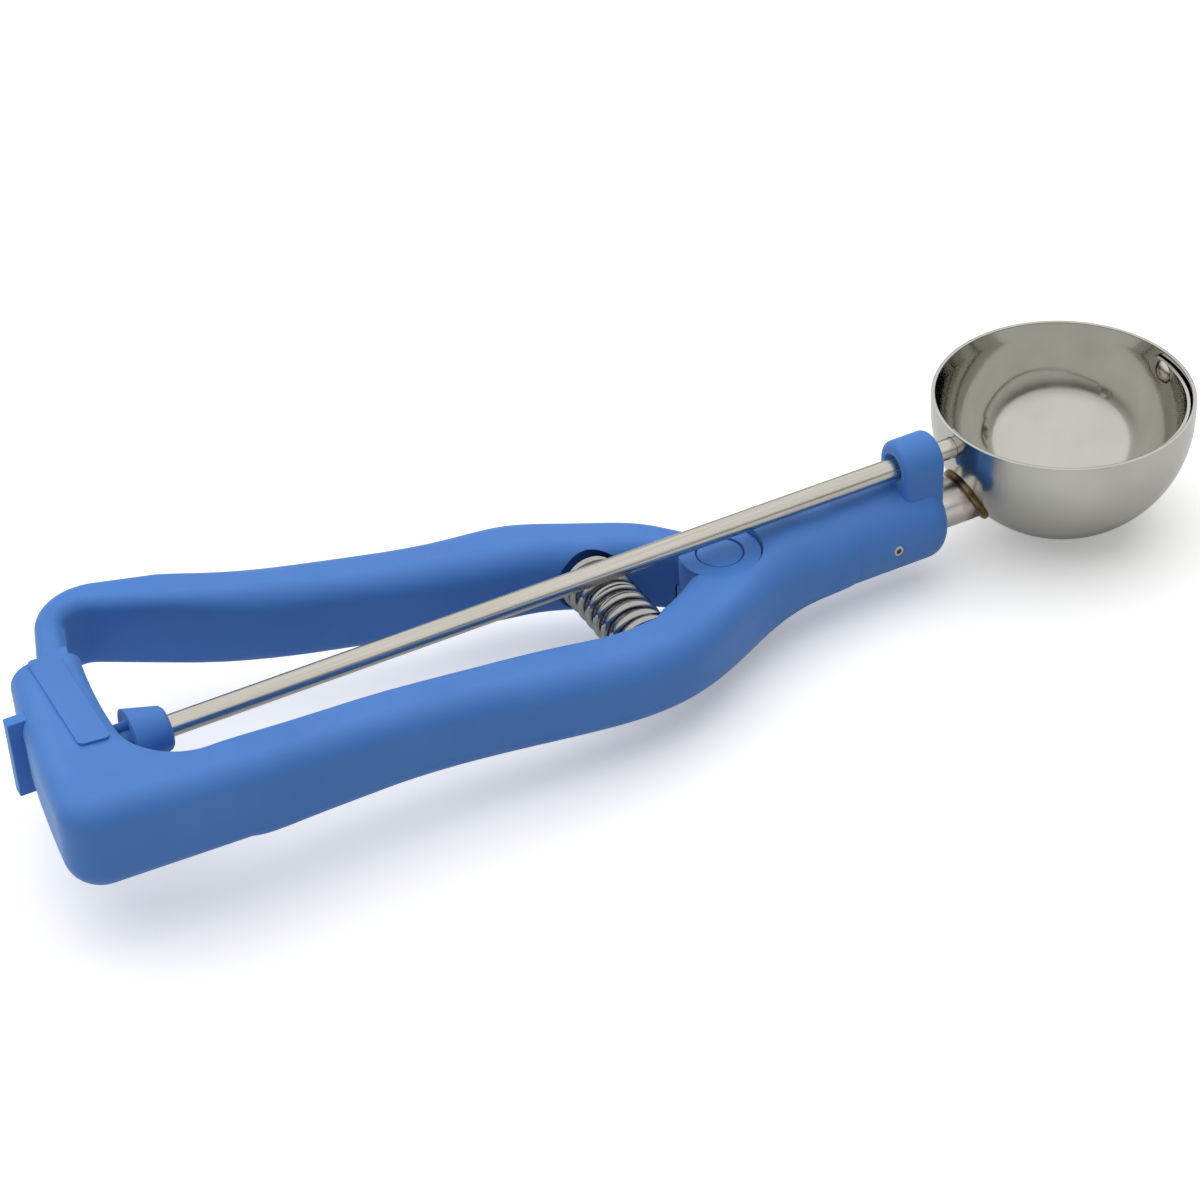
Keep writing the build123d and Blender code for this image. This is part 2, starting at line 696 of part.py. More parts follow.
with BuildPart() as squeeze_lever:
    # Corner and crossbar, from their plan and side
    with BuildSketch(plan) as lever_plan:
        with BuildLine():
            outer = Line(arm_point(lever_place, lever_outer), lever_corner_point)
            back = Line(
                outer @ 1, (hinge_x - sqrt(crossbar_radius**2 - crossbar_start**2), crossbar_start)
            )
            end = Line(back @ 1, (hinge_x - sqrt(tongue_radius**2 - crossbar_start**2), crossbar_start))
            front = Line(end @ 1, inner_corner_point)
            inner = Line(front @ 1, arm_point(lever_place, lever_inner))
            Line(inner @ 1, outer @ 0)
        make_face()
        fillet(lever_plan.vertices().sort_by_distance(outer @ 1)[0], lever_corner)
        fillet(lever_plan.vertices().sort_by_distance(front @ 1)[0], lever_inner_corner)
    extrude(amount=2 * stem_drop, both=True)
    with BuildSketch(side):
        with BuildLine():
            Polyline(
                (lever_x, lever_stub_top),
                (lever_back_x, crossbar_top),
                (lever_back_x, -crossbar_drop),
                (lever_x, lever_stub_bottom),
                close=True,
            )
        make_face()
    extrude(amount=2 * far_reach, both=True, mode=Mode.INTERSECT)
    rounded = [
        edge
        for face in (squeeze_lever.faces().sort_by(Axis.Z)[0], squeeze_lever.faces().sort_by(Axis.Z)[-1])
        for edge in face.edges()
        if edge.center().Y > crossbar_start + overrun / 2 and edge.center().X < lever_x - overrun / 2
    ]
    fillet(rounded, lever_round)
    stub_face = squeeze_lever.faces().sort_by(Axis.X)[-1]
    # Arm and eye
    sections = [lever_section(hinge_x - place * arm_run, rest) for place, *rest in lever_arm_shares]
    loft([*sections, stub_face])
    with BuildSketch(hinge_plan.offset(eye_top)):
        Circle(recess_radius + free_gap)
    extrude(amount=stem_drop, mode=Mode.SUBTRACT)
    with BuildSketch(hinge_plan.offset(eye_bottom)):
        Circle(eye_radius)
    extrude(amount=eye_thickness)
    with BuildSketch(hinge_plan.offset(eye_bottom)):
        Circle(recess_radius + free_gap)
    extrude(amount=-2 * stem_drop, mode=Mode.SUBTRACT)
    with BuildSketch(hinge_plan.offset(eye_bottom)):
        Circle(hinge_pin_diameter / 2 + run_gap)
    extrude(amount=eye_thickness, mode=Mode.SUBTRACT)
    with BuildSketch(hinge_plan.offset(eye_top)):
        Circle(hinge_head_diameter / 2 + free_gap)
    extrude(amount=-hinge_head_height - face_gap, mode=Mode.SUBTRACT)
    # Spring seat and its spigot
    with BuildSketch(along_y(spring_x, seat_far, -spring_drop)):
        Circle(pocket_radius)
    extrude(amount=-seat_far, mode=Mode.SUBTRACT)
    with BuildSketch(along_y(spring_x, seat_far + overrun, -spring_drop)):
        Circle(spigot_radius)
    extrude(amount=-overrun - spigot_length)
    # Tongue: a waist that passes the stop key, and a hooked tip
    waist = ring_sector(tongue_radius, waist_radius, tip_rest, crossbar_start + overrun, -crossbar_drop)
    extrude(waist, amount=tongue_height)
    hook = ring_sector(tongue_radius, hook_radius, tip_rest, key_near - free_gap, -crossbar_drop)
    extrude(hook, amount=tongue_height)
    # Window for the pinion, with the rack's teeth along its upper edge
    window = ring_sector(
        tongue_radius - overrun, hook_radius + overrun, window_low, window_high, window_low
    )
    extrude(window, amount=rack_low - window_low, mode=Mode.SUBTRACT)
    for step in range(-1, gap_count):
        swing = -step * tooth_spacing / rack_radius
        radial = Vector(cos(swing), sin(swing))
        gap_plane = Plane(
            hinge_plan.origin - radial * rack_radius,
            x_dir=(-sin(swing), cos(swing), 0),
            z_dir=radial,
        )
        with BuildSketch(gap_plane):
            with BuildLine():
                Polyline(
                    (-gap_half(rack_low - free_gap), rack_low - free_gap),
                    (gap_half(rack_low - free_gap), rack_low - free_gap),
                    (gap_half(pitch_radius + rack_dedendum), pitch_radius + rack_dedendum),
                    (-gap_half(pitch_radius + rack_dedendum), pitch_radius + rack_dedendum),
                    close=True,
                )
            make_face()
        extrude(amount=hook_thickness, both=True, mode=Mode.SUBTRACT)
squeeze_lever.part.label = "squeeze_lever"

# Hinge pin, pressed into the boss, with its head flush in the eye
with BuildPart() as hinge_pin:
    with BuildSketch(hinge_plan.offset(eye_top)):
        Circle(hinge_head_diameter / 2)
    extrude(amount=-hinge_head_height)
    with BuildSketch(hinge_plan.offset(eye_top)):
        Circle(hinge_pin_diameter / 2)
    extrude(amount=boss_bottom + free_gap - eye_top)
hinge_pin.part.label = "hinge_pin"

# Push-on clip under the boss
with BuildPart() as hinge_clip:
    with BuildSketch(hinge_plan.offset(boss_bottom + clip_recess - seat_gap)):
        Circle(clip_diameter / 2)
        Circle(hinge_pin_diameter / 2 + seat_gap, mode=Mode.SUBTRACT)
    extrude(amount=-clip_thickness)
hinge_clip.part.label = "hinge_clip"

# Return spring: one wire, wider at its ends than at its waist, along Y between the arms
spring_pitch = (spring_length - 2 * spring_end_pitch) / (spring_turns - 2)


def spring_point(turn):
    # A point of the wire's centre line after so many turns, closer wound in the first and last turn.
    half = spring_turns / 2
    away = (turn - half) / half
    radius = spring_waist_radius + (spring_end_radius - spring_waist_radius) * away**4
    inner_turns = min(max(turn - 1, 0), spring_turns - 2)
    end_turns = turn - inner_turns
    y = -seat_near + free_gap + spring_wire / 2 + inner_turns * spring_pitch + end_turns * spring_end_pitch
    angle = 2 * pi * turn
    return Vector(spring_x + radius * cos(angle), y, axis_z - spring_drop + radius * sin(angle))


spring_nodes = [spring_point(step * biarc_share) for step in range(int(spring_turns / biarc_share) + 1)]
spring_ways = [
    (spring_point(step * biarc_share + step_share) - spring_point(step * biarc_share - step_share))
    .normalized()
    for step in range(len(spring_nodes))
]
with BuildPart() as return_spring:
    with BuildLine() as wire:
        for start, stop, leave, arrive in zip(
            spring_nodes, spring_nodes[1:], spring_ways, spring_ways[1:]
        ):
            chord = stop - start
            ways = chord.dot(leave + arrive)
            bend = 1 - leave.dot(arrive)
            reach = (sqrt(ways**2 + 2 * bend * chord.dot(chord)) - ways) / (2 * bend)
            middle = (start + leave * reach + stop - arrive * reach) / 2
            first = TangentArc(start, middle, tangent=leave)
            TangentArc(middle, stop, tangent=first % 1)
    with BuildSketch(Plane(spring_nodes[0], z_dir=spring_ways[0])):
        RegularPolygon(spring_wire / 2, spring_wire_sides)
    sweep(path=wire.wire())
return_spring.part.label = "return_spring"

# Least gap between two turns, on points a twentieth of a turn apart
samples = [spring_point(step * sample_share) for step in range(int(spring_turns / sample_share) + 1)]
least = min(
    (a - b).length
    for i, a in enumerate(samples)
    for b in samples[i + int(apart_share / sample_share) :]
)
print("least gap between the spring's turns", round(least - spring_wire, 2))

os.makedirs("parts", exist_ok=True)
for piece in (
    bowl,
    scraper_blade,
    pivot_rivet,
    scraper_rod,
    drive_pinion,
    stem_tube,
    stem_weld,
    stem_pin,
    grip_body,
    stop_key,
    squeeze_lever,
    hinge_pin,
    hinge_clip,
    return_spring,
):
    export_step(piece.part, f"parts/{piece.part.label}.step")
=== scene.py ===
from math import cos, pi, radians, sin

import bmesh
import bpy
from mathutils import Matrix, Vector


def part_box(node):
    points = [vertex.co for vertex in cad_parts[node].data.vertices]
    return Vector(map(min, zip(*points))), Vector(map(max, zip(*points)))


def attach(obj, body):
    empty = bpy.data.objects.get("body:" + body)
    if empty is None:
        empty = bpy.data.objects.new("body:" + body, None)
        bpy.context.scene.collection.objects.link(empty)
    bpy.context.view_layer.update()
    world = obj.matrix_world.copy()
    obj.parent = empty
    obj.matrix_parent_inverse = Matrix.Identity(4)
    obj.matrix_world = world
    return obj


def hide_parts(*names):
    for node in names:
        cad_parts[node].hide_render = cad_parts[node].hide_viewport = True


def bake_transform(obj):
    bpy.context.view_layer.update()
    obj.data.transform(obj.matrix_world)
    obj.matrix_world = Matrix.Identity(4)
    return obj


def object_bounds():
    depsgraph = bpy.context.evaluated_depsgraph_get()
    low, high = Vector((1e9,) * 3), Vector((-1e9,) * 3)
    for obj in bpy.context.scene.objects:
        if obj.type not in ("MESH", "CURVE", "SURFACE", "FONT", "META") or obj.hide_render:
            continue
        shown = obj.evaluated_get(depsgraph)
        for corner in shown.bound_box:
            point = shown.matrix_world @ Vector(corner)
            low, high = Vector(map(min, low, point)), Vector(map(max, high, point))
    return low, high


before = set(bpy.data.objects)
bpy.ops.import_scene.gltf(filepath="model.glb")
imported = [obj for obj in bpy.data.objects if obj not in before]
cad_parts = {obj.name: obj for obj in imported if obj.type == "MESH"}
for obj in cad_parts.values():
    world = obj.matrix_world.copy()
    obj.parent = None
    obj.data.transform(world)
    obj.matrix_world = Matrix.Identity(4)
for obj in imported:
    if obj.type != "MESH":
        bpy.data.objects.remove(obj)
cad_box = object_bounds()

# The frame is in metres. Sizes are read from its nodes, or written here in millimetres.
MM = 0.001
bowl_low, bowl_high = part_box("bowl")
rod_low, rod_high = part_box("scraper_rod")
stem_low, stem_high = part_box("stem_tube")
pin_low, pin_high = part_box("hinge_pin")
spring_low, spring_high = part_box("return_spring")

# Bowl, with the rim's half outline as shares of its rounding (down) and of the wall (outward)
BOWL_RADIUS = (bowl_high[1] - bowl_low[1]) / 2
BOWL_WALL = 0.8 * MM
AXIS_Z = bowl_low[2] + BOWL_RADIUS
RIM_ROUND = 0.32 * MM
RIM_SHARES = ((1.0, 0.5), (0.3, 0.4), (0.0, 0.16))
ROD_HOLE = 2.1 * MM
RIVET_HOLE = 1.45 * MM

# Rod, stem, hinge and key
ROD_RADIUS = 2.0 * MM
STEM_RADIUS = (stem_high[1] - stem_low[1]) / 2
STEM_Z = (stem_high[2] + stem_low[2]) / 2
HINGE_X = (pin_high[0] + pin_low[0]) / 2
KEY_ROUND = 0.25 * MM

# Return spring
SPRING_TURNS = 8.0
SPRING_WIRE = 1.9 * MM
SPRING_END_RADIUS = 5.2 * MM
SPRING_WAIST_RADIUS = 4.8 * MM
SPRING_FLARE_POWER = 4.0
SPRING_END_PITCH = 2.4 * MM
SPRING_SPAN = 23.1 * MM
ARM_RUN = 103.0 * MM  # from the hinge to the heel
SPRING_PLACE_SHARE = 0.209
SPRING_DROP = 10.0 * MM
SPRING_CENTRE = Vector((
    HINGE_X - SPRING_PLACE_SHARE * ARM_RUN,
    (spring_low[1] + spring_high[1]) / 2,
    AXIS_Z - SPRING_DROP,
))
POINTS_PER_TURN = 40
WIRE_SIDES = 20

# Weld bead round the stem
BEAD_RADIUS = 0.7 * MM
BEAD_STANDOFF = 0.2 * MM
BEAD_RIPPLES = 34
BEAD_RIPPLE_SHARE = 0.14
POINTS_PER_RIPPLE = 12
BEAD_SIDES = 14

# Merging distances, and the angle up to which triangles count as one flat face
COPY_MERGE = 0.03 * MM
POLE_MERGE = 0.002 * MM
FLAT_ANGLE = radians(1)

# The stretch of a noise pattern that holds nearly all of it
PATTERN_LOW, PATTERN_HIGH = 0.3, 0.7

# Colour sockets of a Mix node, by number because its other sockets have the same names
MIX_FIRST, MIX_SECOND, MIX_RESULT = 6, 7, 2

# Camera, fitted to the photograph
CAMERA_PLACE = Vector((-306.2, -420.8, 356.9)) * MM
CAMERA_AZIMUTH = radians(26.118)
CAMERA_ELEVATION = radians(38.029)
CAMERA_ROLL = radians(-2.964)
CAMERA_LENS = 98.82
CAMERA_SENSOR = 36.0
CAMERA_REACH = 20.0

# Floor sheet, in metres, and how much it glows to the camera and in the steel
FLOOR_HALF = 1.5
FLOOR_GAP = 0.05 * MM
FLOOR_GLOW_IN_VIEW = 0.28
FLOOR_GLOW_IN_STEEL = 0.06
FLOOR_ROUGHNESS = 0.9

# Room light: even fill, and what the steel sees between the walls' top and the ceiling's edge
WHITE = (1.0, 1.0, 1.0, 1.0)
FULL_LIGHT = 1.0
FILL_LIGHT = 0.29
WALL_LIGHT = 0.26
WALL_TOP = 0.10
CEILING_EDGE = 0.48
CEILING_TOWARD = Vector((0.1, -0.32, -1.0))
CEILING_STRENGTH = 2.4
CEILING_SPREAD = radians(100)


# Colours and materials


def linear(hex_colour):
    """One sRGB hex colour as linear red, green, blue and alpha."""
    values = [int(hex_colour[i:i + 2], 16) / 255 for i in (1, 3, 5)]
    return [v / 12.92 if v <= 0.04045 else ((v + 0.055) / 1.055) ** 2.4 for v in values] + [1.0]


def add_node(tree, kind, inputs=(), **settings):
    """Adds a node with its settings, and links or sets its inputs by name or number."""
    made = tree.nodes.new(kind)
    for name, value in settings.items():
        setattr(made, name, value)
    for name, value in dict(inputs).items():
        if isinstance(value, bpy.types.NodeSocket):
            tree.links.new(value, made.inputs[name])
        else:
            made.inputs[name].default_value = value
    return made


def new_material(name):
    """A material with its node tree and its shader."""
    material = bpy.data.materials.new(name)
    material.use_nodes = True
    tree = material.node_tree
    return material, tree, tree.nodes["Principled BSDF"]


def finish_surface(tree, shader, shades, colours, wear, roughness, relief, strength, depth):
    """Gives a surface its colours, roughness and fine relief, each by its own pattern."""
    ramp = add_node(tree, "ShaderNodeValToRGB", {"Fac": shades})
    stops = ramp.color_ramp.elements
    for stop, colour, position in zip(stops, colours, (PATTERN_LOW, PATTERN_HIGH)):
        stop.color = linear(colour)
        stop.position = position
    dulled = add_node(tree, "ShaderNodeMapRange", {
        "Value": wear, "From Min": PATTERN_LOW, "From Max": PATTERN_HIGH,
        "To Min": roughness[0], "To Max": roughness[1],
    })
    bump = add_node(
        tree, "ShaderNodeBump", {"Height": relief, "Strength": strength, "Distance": depth}
    )
    tree.links.new(ramp.outputs["Color"], shader.inputs["Base Color"])
    tree.links.new(dulled.outputs["Result"], shader.inputs["Roughness"])
    tree.links.new(bump.outputs["Normal"], shader.inputs["Normal"])


def moulded_polypropylene():
    """Blue polypropylene from a spark-eroded mould: matt, fine-grained, with faint flow shading."""
    material, tree, shader = new_material("moulded_polypropylene_blue")
    flow_size = 22 * MM
    hand_size = 7 * MM
    grain_size = 0.55 * MM  # the real grain is finer; this is the finest that shows
    place = add_node(tree, "ShaderNodeTexCoord").outputs["Object"]
    flow, hand, grain = [
        add_node(
            tree, "ShaderNodeTexNoise", {"Vector": place, "Scale": 1 / size, "Detail": detail}
        ).outputs["Fac"]
        for size, detail in ((flow_size, 2.0), (hand_size, 4.0), (grain_size, 2.0))
    ]
    finish_surface(
        tree, shader,
        shades=flow, colours=("#427ac7", "#4981cf"),
        wear=hand, roughness=(0.44, 0.54),
        relief=grain, strength=0.22, depth=0.06 * MM,
    )
    shader.inputs["IOR"].default_value = 1.49
    shader.inputs["Specular IOR Level"].default_value = 0.42
    shader.inputs["Sheen Weight"].default_value = 0.6  # pale edges where the grain is seen aslant
    shader.inputs["Sheen Roughness"].default_value = 0.35
    shader.inputs["Sheen Tint"].default_value = linear("#a9cdf5")
    return material


def polished_stainless():
    """Stainless sheet, spun and polished: bright, with rings that blur its reflections."""
    material, tree, shader = new_material("polished_stainless_steel")
    ring_size = 0.7 * MM  # polishing marks are finer; drawn as coarse as shows
    smear_size = 11 * MM
    place = add_node(tree, "ShaderNodeTexCoord").outputs["Object"]
    parts = add_node(tree, "ShaderNodeSeparateXYZ", {0: place}).outputs
    flat = add_node(tree, "ShaderNodeCombineXYZ", {"X": parts["X"], "Y": parts["Y"]})
    radius = add_node(tree, "ShaderNodeVectorMath", {0: flat.outputs[0]}, operation="LENGTH")
    around = add_node(
        tree, "ShaderNodeCombineXYZ", {"X": radius.outputs["Value"], "Z": parts["Z"]}
    )
    rings, smears = [
        add_node(
            tree, "ShaderNodeTexNoise", {"Vector": where, "Scale": 1 / size, "Detail": 3.0}
        ).outputs["Fac"]
        for where, size in ((around.outputs[0], ring_size), (place, smear_size))
    ]
    finish_surface(
        tree, shader,
        shades=smears, colours=("#c0bfb7", "#c9c8c2"),
        wear=smears, roughness=(0.07, 0.13),
        relief=rings, strength=0.10, depth=0.02 * MM,
    )
    shader.inputs["Metallic"].default_value = 1.0
    return material


def drawn_stainless(name, colours, roughness, along_axis, strength):
    """Drawn stainless wire or tube, or rolled sheet: satin, with fine lines along its length."""
    material, tree, shader = new_material(name)
    line_width = 0.28 * MM  # the real lines are finer; drawn as coarse as shows
    line_length = 26 * MM
    along = [1 / line_length if axis == along_axis else 1 / line_width for axis in range(3)]
    place = add_node(tree, "ShaderNodeTexCoord").outputs["Object"]
    stretched = add_node(tree, "ShaderNodeMapping", {"Vector": place, "Scale": along})
    lines = add_node(
        tree, "ShaderNodeTexNoise", {"Vector": stretched.outputs[0], "Scale": 1.0, "Detail": 4.0}
    ).outputs["Fac"]
    finish_surface(
        tree, shader,
        shades=lines, colours=colours,
        wear=lines, roughness=roughness,
        relief=lines, strength=strength, depth=0.03 * MM,
    )
    shader.inputs["Metallic"].default_value = 1.0
    return material


def tint_near_weld(material):
    """Straw and brown heat colours that fade along the stem away from the weld."""
    tree = material.node_tree
    shader = tree.nodes["Principled BSDF"]
    plain = shader.inputs["Base Color"].links[0].from_socket
    patch_size = 3 * MM
    ragged_reach = 4 * MM
    fade_start = -23.0 * MM
    fade_end = -20.5 * MM
    tint_share = 0.85
    place = add_node(tree, "ShaderNodeTexCoord").outputs["Object"]
    along = add_node(tree, "ShaderNodeSeparateXYZ", {0: place}).outputs["X"]
    patches = add_node(
        tree, "ShaderNodeTexNoise", {"Vector": place, "Scale": 1 / patch_size, "Detail": 3.0}
    )
    ragged = add_node(
        tree, "ShaderNodeMath", {0: patches.outputs["Fac"], 1: ragged_reach, 2: along},
        operation="MULTIPLY_ADD",
    )
    near = add_node(tree, "ShaderNodeMapRange", {
        "Value": ragged.outputs[0], "From Min": fade_start, "From Max": fade_end,
        "To Max": tint_share,
    })
    tinted = add_node(
        tree, "ShaderNodeMix",
        {"Factor": near.outputs["Result"], MIX_FIRST: plain, MIX_SECOND: linear("#6b5334")},
        data_type="RGBA",
    )
    tree.links.new(tinted.outputs[MIX_RESULT], shader.inputs["Base Color"])


def heat_tinted_weld():
    """Weld metal left as it cooled: straw and brown heat colours over a rough bead."""
    material, tree, shader = new_material("heat_tinted_weld")
    patch_size = 2.6 * MM
    pit_size = 0.5 * MM
    place = add_node(tree, "ShaderNodeTexCoord").outputs["Object"]
    patches, pits = [
        add_node(
            tree, "ShaderNodeTexNoise", {"Vector": place, "Scale": 1 / size, "Detail": detail}
        ).outputs["Fac"]
        for size, detail in ((patch_size, 3.0), (pit_size, 2.0))
    ]
    finish_surface(
        tree, shader,
        shades=patches, colours=("#4a3a26", "#a08a62"),
        wear=pits, roughness=(0.32, 0.5),
        relief=pits, strength=0.35, depth=0.08 * MM,
    )
    shader.inputs["Metallic"].default_value = 1.0
    return material


plastic = moulded_polypropylene()
polished = polished_stainless()
rod_steel = drawn_stainless(
    "drawn_stainless_rod", ("#c0bbb0", "#d4d0c6"), (0.16, 0.30), along_axis=0, strength=0.14
)
stem_steel = drawn_stainless(
    "drawn_stainless_tube", ("#d6cfc8", "#e4dfd9"), (0.24, 0.38), along_axis=0, strength=0.08
)
sheet_steel = drawn_stainless(
    "rolled_stainless_sheet", ("#b9b6ae", "#cbc8c0"), (0.18, 0.32), along_axis=0, strength=0.1
)
spring_steel = drawn_stainless(
    "drawn_spring_steel", ("#a9a8a3", "#b5b4af"), (0.08, 0.22), along_axis=1, strength=0.02
)
tint_near_weld(stem_steel)
weld_metal = heat_tinted_weld()


# Pieces


def finish_piece(piece, body, nodes, material):
    """Gives a piece its material, its body if it rides one and the nodes it replaces."""
    piece.data.materials.clear()
    piece.data.materials.append(material)
    if body:
        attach(piece, body)
    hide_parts(*nodes)


def object_from(name, data):
    """An object of a mesh, a lamp or a camera, put into the scene at the origin."""
    made = bpy.data.objects.new(name, data)
    bpy.context.scene.collection.objects.link(made)
    return made


def object_of_shape(name, shape):
    """An object of a shape under construction, which is used up."""
    mesh = bpy.data.meshes.new(name)
    shape.to_mesh(mesh)
    shape.free()
    return object_from(name, mesh)


def settled(piece):
    """Turns a piece and its modifiers into a plain mesh."""
    evaluated = piece.evaluated_get(bpy.context.evaluated_depsgraph_get())
    mesh = bpy.data.meshes.new_from_object(evaluated)
    piece.modifiers.clear()
    piece.data = mesh
    return piece


def smooth_shape(piece, sharp_degrees):
    """Smooth shading with sharp edges kept, and large faces left flat."""
    for polygon in piece.data.polygons:
        polygon.use_smooth = True
    piece.data.set_sharp_from_angle(angle=radians(sharp_degrees))
    weighting = piece.modifiers.new("large_faces_flat", "WEIGHTED_NORMAL")
    weighting.keep_sharp = True
    return settled(piece)


def copy_of(node, name):
    """A copy of a node's shape, which keeps the normals of its true surfaces."""
    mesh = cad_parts[node].data.copy()
    mesh.name = name
    return object_from(name, mesh)


def rounded_copy_of(node, name):
    """A merged copy of a flat piece's shape with its sharp edges rounded."""
    shape = bmesh.new()
    shape.from_mesh(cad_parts[node].data)
    bmesh.ops.remove_doubles(shape, verts=shape.verts, dist=COPY_MERGE)
    bmesh.ops.dissolve_limit(
        shape, angle_limit=FLAT_ANGLE, verts=shape.verts, edges=shape.edges
    )
    piece = object_of_shape(name, shape)
    rounding = piece.modifiers.new("edge_round", "BEVEL")
    rounding.width = KEY_ROUND
    rounding.segments = 3
    rounding.limit_method = "ANGLE"
    return smooth_shape(settled(piece), sharp_degrees=20)


def turned(name, profile, centre, axis, steps):
    """Turns an outline of (along the axis, radius) points about an axis."""
    axis = Vector(axis)
    aside = axis.orthogonal().normalized()
    shape = bmesh.new()
    points = [
        shape.verts.new(Vector(centre) + axis * along + aside * radius)
        for along, radius in profile
    ]
    edges = [shape.edges.new((a, b)) for a, b in zip(points, points[1:])]
    bmesh.ops.spin(
        shape, geom=points + edges, cent=centre, axis=axis, angle=2 * pi, steps=steps,
        use_merge=True,
    )
    bmesh.ops.remove_doubles(shape, verts=shape.verts, dist=POLE_MERGE)
    bmesh.ops.recalc_face_normals(shape, faces=shape.faces)
    return object_of_shape(name, shape)


def arc_points(radius, start, stop, count):
    """Points of (along, radius) on an arc about the origin, by angles from the axis."""
    angles = [start + (stop - start) * i / count for i in range(count + 1)]
    return [(radius * cos(angle), radius * sin(angle)) for angle in angles]


def make_bowl():
    """Spun bowl: half a sphere, a short straight wall, a rounded rim and two pivot holes."""
    rim = bowl_high[2] - AXIS_Z
    rim_middle = BOWL_RADIUS - BOWL_WALL / 2
    half_rim = [(rim - drop * RIM_ROUND, reach * BOWL_WALL) for drop, reach in RIM_SHARES]
    arc_steps = 56
    profile = arc_points(BOWL_RADIUS, pi, pi / 2, arc_steps)
    profile += [(height, rim_middle + reach) for height, reach in half_rim]
    profile += [(height, rim_middle - reach) for height, reach in reversed(half_rim)]
    profile += arc_points(BOWL_RADIUS - BOWL_WALL, pi / 2, pi, arc_steps)
    piece = turned("bowl_shell", profile, (0, 0, AXIS_Z), (0, 0, 1), steps=192)
    drills = bmesh.new()
    for side, radius in ((-1, ROD_HOLE), (1, RIVET_HOLE)):
        pole = Matrix.Translation((side * BOWL_RADIUS, 0, AXIS_Z))
        bmesh.ops.create_cone(
            drills, cap_ends=True, segments=48, radius1=radius, radius2=radius,
            depth=BOWL_RADIUS / 2, matrix=pole @ Matrix.Rotation(pi / 2, 4, "Y"),
        )
    cutter = object_of_shape("pivot_holes", drills)
    holes = piece.modifiers.new("pivot_holes", "BOOLEAN")
    holes.object = cutter
    holes.solver = "EXACT"
    settled(piece)
    bpy.data.objects.remove(cutter)
    smooth_shape(piece, sharp_degrees=40)
    finish_piece(piece, "grip", ["bowl"], polished)


def make_rod():
    """Round rod with a chamfered tail and its peened tenon head inside the blade."""
    head = 2.2 * MM
    head_height = 0.8 * MM
    tenon = 1.4 * MM
    chamfer = 0.3 * MM
    shoulder = -24.1 * MM
    tail = rod_low[0]
    head_back = rod_high[0] - head_height
    profile = [(tail, 0), (tail, ROD_RADIUS - chamfer), (tail + chamfer, ROD_RADIUS)]
    profile += [(shoulder - chamfer / 2, ROD_RADIUS), (shoulder, ROD_RADIUS - chamfer / 2)]
    profile += [(shoulder, tenon), (head_back, tenon), (head_back, head)]
    dome_steps = 8
    for i in range(1, dome_steps + 1):
        angle = pi / 2 * i / dome_steps
        profile.append((head_back + head_height * sin(angle), head * cos(angle)))
    piece = turned("rod_bar", profile, (0, 0, AXIS_Z), (1, 0, 0), steps=64)
    smooth_shape(piece, sharp_degrees=30)
    finish_piece(piece, "scraper", ["scraper_rod"], rod_steel)


def make_hinge_pin():
    """Hinge pin with a low domed head that has a rounded edge."""
    head = (pin_high[0] - pin_low[0]) / 2
    shank = 2.5 * MM
    head_depth = 2.0 * MM
    edge = 0.5 * MM
    edge_shares = ((1.0, 0.0), (0.35, 0.25), (0.08, 1.0))  # down and inward along the edge
    dome = 0.15 * MM
    dome_shoulder_share = 0.6
    foot, top = pin_low[2], pin_high[2]
    profile = [(foot, 0), (foot, shank), (top - head_depth, shank), (top - head_depth, head)]
    profile += [(top - edge * down, head - edge * inward) for down, inward in edge_shares]
    profile += [(top + dome / 2, head * dome_shoulder_share), (top + dome, 0)]
    piece = turned("hinge_pin_domed", profile, (HINGE_X, 0, 0), (0, 0, 1), steps=96)
    smooth_shape(piece, sharp_degrees=35)
    finish_piece(piece, "grip", ["hinge_pin"], plastic)


def make_stem_pin():
    """Rolled cross pin, hollow at both ends."""
    low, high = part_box("stem_pin")
    radius = (high[0] - low[0]) / 2
    hollow = radius / 2
    depth = 1.2 * MM
    edge = 0.12 * MM
    half = (high[1] - low[1]) / 2
    half_pin = [(half - edge, radius), (half, radius - edge), (half, hollow)]
    half_pin += [(half - depth, hollow), (half - depth, 0)]
    profile = [(-along, across) for along, across in reversed(half_pin)] + half_pin
    centre = [(start + end) / 2 for start, end in zip(low, high)]
    piece = turned("stem_roll_pin", profile, centre, (0, 1, 0), steps=48)
    smooth_shape(piece, sharp_degrees=30)
    finish_piece(piece, "grip", ["stem_pin"], sheet_steel)


# Wires along a rule, by Geometry Nodes


